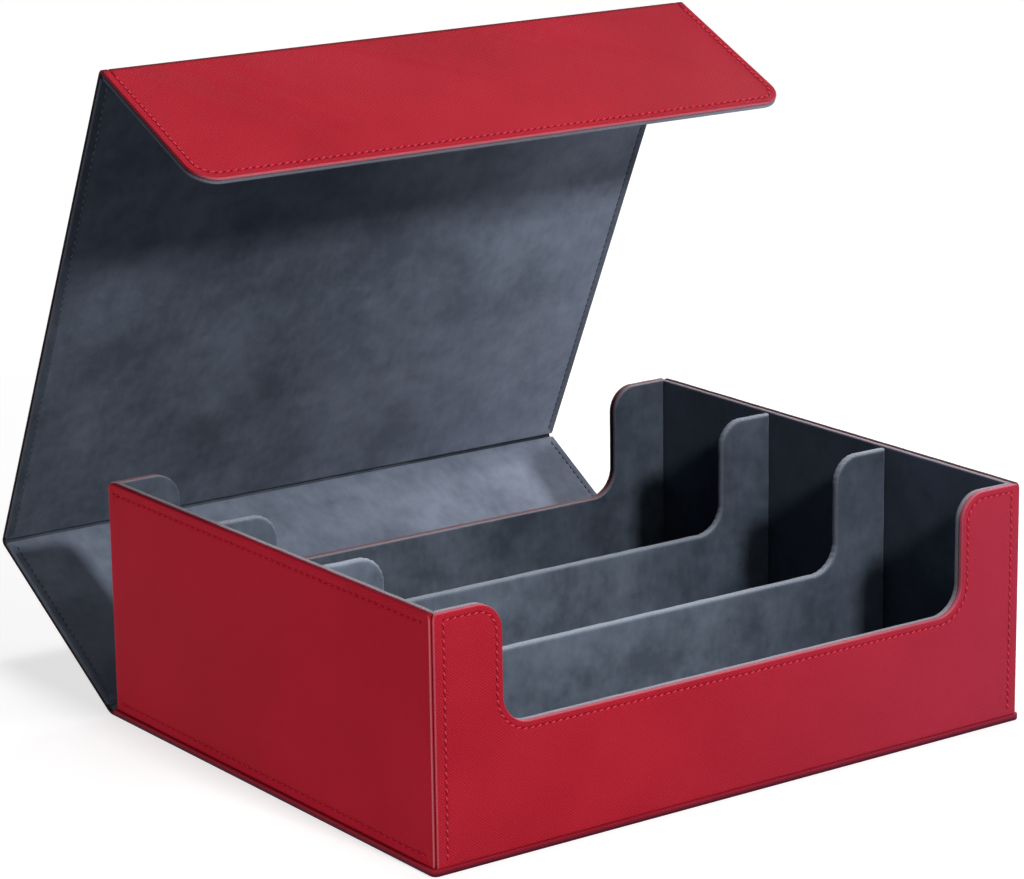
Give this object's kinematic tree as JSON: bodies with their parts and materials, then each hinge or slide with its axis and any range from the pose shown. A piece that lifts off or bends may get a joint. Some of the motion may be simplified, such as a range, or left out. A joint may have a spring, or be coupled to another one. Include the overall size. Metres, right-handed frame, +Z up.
{
  "type": "card storage box",
  "caption": "Fold-over card storage box: an open divided tray with wide finger cut-outs, and a wrap-around lid on living hinges that ends in a magnetic front flap.",
  "frame": {"origin": "middle of the tray's footprint, on the underside of the base that the box stands on", "axes": "+X along the front wall, +Y from the front wall to the back, +Z up"},
  "size_m": [0.3224, 0.3601, 0.3002],
  "materials": {
    "leather": "satin",
    "suede": "matte",
    "board": "matte",
    "magnet": "satin"
  },
  "bodies": {
    "tray": {"base_board": "board", "base_leather": "leather", "tray_floor_board": "board", "front_row_lining": "suede", "middle_row_lining": "suede", "rear_row_lining": "suede", "front_wall_board": "board", "front_wall_leather": "leather", "front_wall_lining": "suede", "rear_wall_board": "board", "rear_wall_leather": "leather", "rear_wall_lining": "suede", "left_wall_board": "board", "left_wall_leather": "leather", "left_wall_lining": "suede", "right_wall_board": "board", "right_wall_leather": "leather", "right_wall_lining": "suede", "front_divider_board": "board", "front_divider_suede": "suede", "rear_divider_board": "board", "rear_divider_suede": "suede", "wall_magnet_1": "magnet", "wall_magnet_2": "magnet", "wall_magnet_3": "magnet", "wall_magnet_4": "magnet", "rear_fold_leather": "leather", "rear_fold_lining": "suede"},
    "back_cover": {"back_cover_board": "board", "back_cover_leather": "leather", "back_cover_lining": "suede", "top_fold_leather": "leather", "top_fold_lining": "suede"},
    "top_cover": {"top_cover_board": "board", "top_cover_leather": "leather", "top_cover_lining": "suede", "front_fold_leather": "leather", "front_fold_lining": "suede"},
    "front_flap": {"flap_board": "board", "flap_leather": "leather", "flap_lining": "suede", "flap_magnet_1": "magnet", "flap_magnet_2": "magnet", "flap_magnet_3": "magnet", "flap_magnet_4": "magnet"}
  },
  "joints": [
    {"name": "back_cover_fold", "type": "hinge", "parent": "tray", "child": "back_cover", "pos_m": [0, 0.13305, 0.00035], "axis": [1, 0, 0], "range_deg": [-31.3, 58.7], "deforming": ["rear_fold_leather", "rear_fold_lining"]},
    {"name": "top_cover_fold", "type": "hinge", "parent": "back_cover", "child": "top_cover", "pos_m": [0, 0.23106, 0.05994], "axis": [1, 0, 0], "range_deg": [-84, 6], "deforming": ["top_fold_leather", "top_fold_lining"]},
    {"name": "front_flap_fold", "type": "hinge", "parent": "top_cover", "child": "front_flap", "pos_m": [0, 0.11725, 0.3007], "axis": [1, 0, 0], "range_deg": [-90, 0], "deforming": ["front_fold_leather", "front_fold_lining"]}
  ]
}
